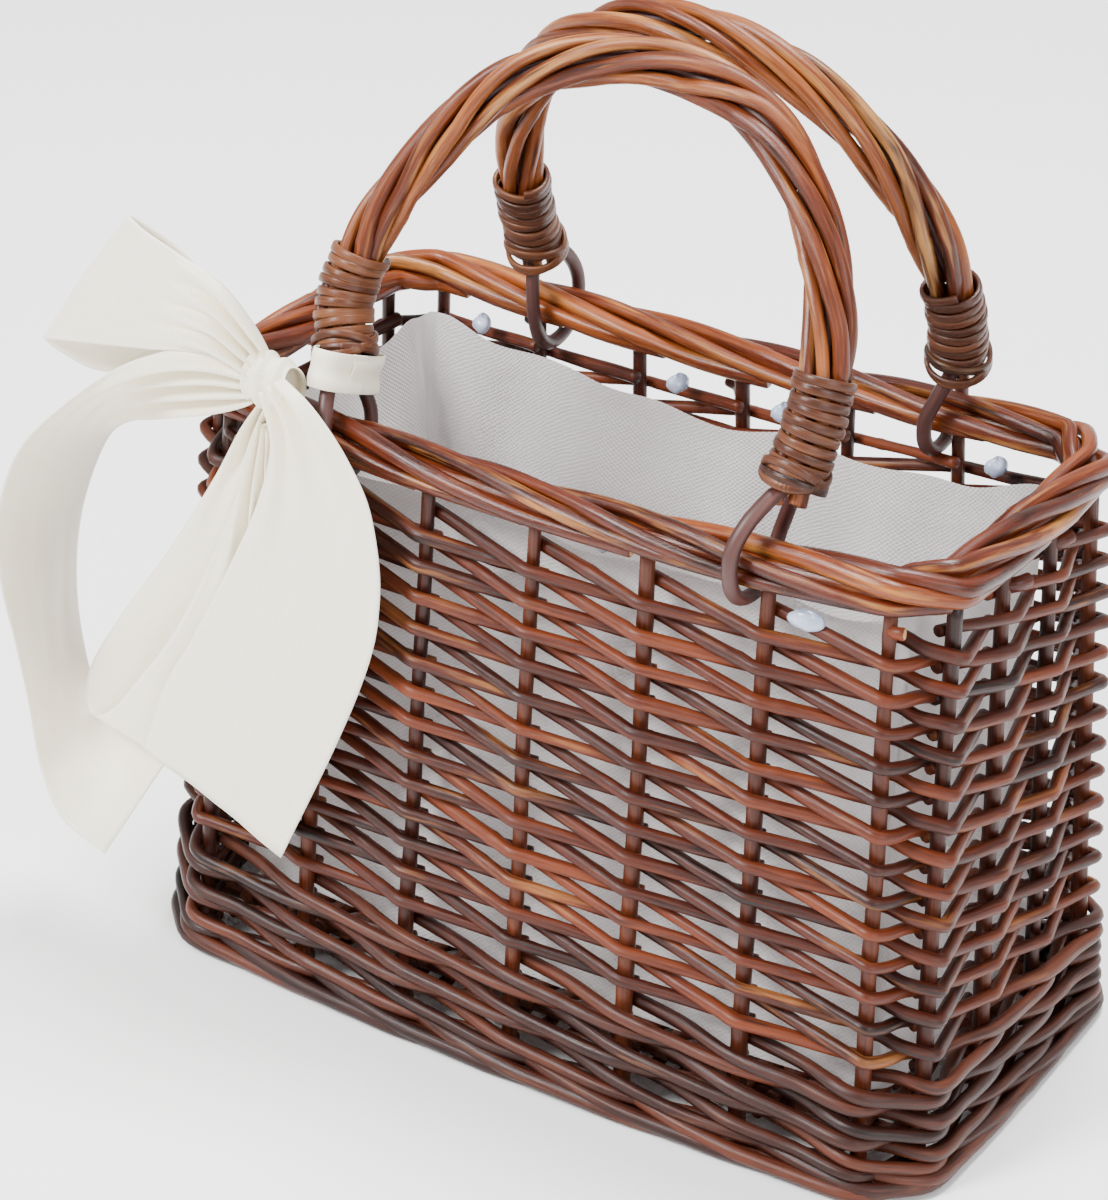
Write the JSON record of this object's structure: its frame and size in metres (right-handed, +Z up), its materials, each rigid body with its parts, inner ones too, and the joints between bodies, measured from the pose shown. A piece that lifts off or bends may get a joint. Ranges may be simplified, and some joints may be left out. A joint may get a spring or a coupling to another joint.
{
  "type": "flower girl basket",
  "caption": "Small rectangular woven willow basket with swing handles, a cotton liner and a satin bow tied to the front handle.",
  "frame": {"origin": "centre of the underside of the foot border, on the table", "axes": "+Z up, +X along the long side to the viewer's right, -Y towards the front wall that carries the bow"},
  "size_m": [0.2447, 0.14, 0.2511],
  "materials": {
    "willow": "stained and varnished willow",
    "dark_willow": "darker stained and varnished willow",
    "handle_willow": "stained and varnished willow with paler streaks",
    "cut_willow": "pale cut end grain",
    "cane_binding": "flat cane, satin varnish",
    "coated_wire": "brown plastic-coated wire",
    "cotton": "plain-weave cotton canvas",
    "satin": "ivory satin ribbon",
    "hot_glue": "milky hot-melt glue"
  },
  "bodies": {
    "basket": {"foot_border": "dark_willow", "foot_wale_1": "dark_willow", "foot_wale_2": "dark_willow", "foot_wale_3": "dark_willow", "base_sticks": "willow", "base_weave": "willow", "stakes_front": "willow", "stakes_right": "willow", "stakes_back": "willow", "stakes_left": "willow", "weave_row_01": "willow", "weave_row_02": "willow", "weave_row_03": "willow", "weave_row_04": "willow", "weave_row_05": "willow", "weave_row_06": "willow", "weave_row_07": "willow", "weave_row_08": "willow", "weave_row_09": "willow", "weave_row_10": "willow", "weave_row_11": "willow", "weave_row_12": "willow", "weave_row_13": "willow", "rim_border": "willow", "cut_stake_ends": "cut_willow", "liner": "cotton", "glue_dots": "hot_glue"},
    "front_handle": {"front_handle_wire": "coated_wire", "front_handle_rod_1": "handle_willow", "front_handle_rod_2": "handle_willow", "front_handle_rod_3": "handle_willow", "front_handle_rod_4": "handle_willow", "front_handle_rod_5": "handle_willow", "front_handle_rod_6": "handle_willow", "front_handle_left_binding": "cane_binding", "front_handle_right_binding": "cane_binding", "ribbon_band": "satin"},
    "back_handle": {"back_handle_wire": "coated_wire", "back_handle_rod_1": "handle_willow", "back_handle_rod_2": "handle_willow", "back_handle_rod_3": "handle_willow", "back_handle_rod_4": "handle_willow", "back_handle_rod_5": "handle_willow", "back_handle_rod_6": "handle_willow", "back_handle_left_binding": "cane_binding", "back_handle_right_binding": "cane_binding"},
    "bow": {"ribbon_knot": "satin", "ribbon_upper_loop": "satin", "ribbon_lower_loop": "satin", "ribbon_left_tail": "satin", "ribbon_front_tail": "satin"}
  },
  "joints": [
    {"name": "front_handle_swing", "type": "hinge", "parent": "basket", "child": "front_handle", "pos_m": [0, -0.0445, 0.15], "axis": [1, 0, 0], "range_deg": [0, 104]},
    {"name": "back_handle_swing", "type": "hinge", "parent": "basket", "child": "back_handle", "pos_m": [0, 0.0445, 0.15], "axis": [-1, 0, 0], "range_deg": [0, 111.5]},
    {"name": "bow_hang", "type": "hinge", "parent": "front_handle", "child": "bow", "pos_m": [-0.067, -0.053, 0.165], "axis": [1, 0, 0], "range_deg": [-104, 0]}
  ],
  "couplings": [
    {"joint": "bow_hang", "follows": "front_handle_swing", "ratio": -1}
  ]
}
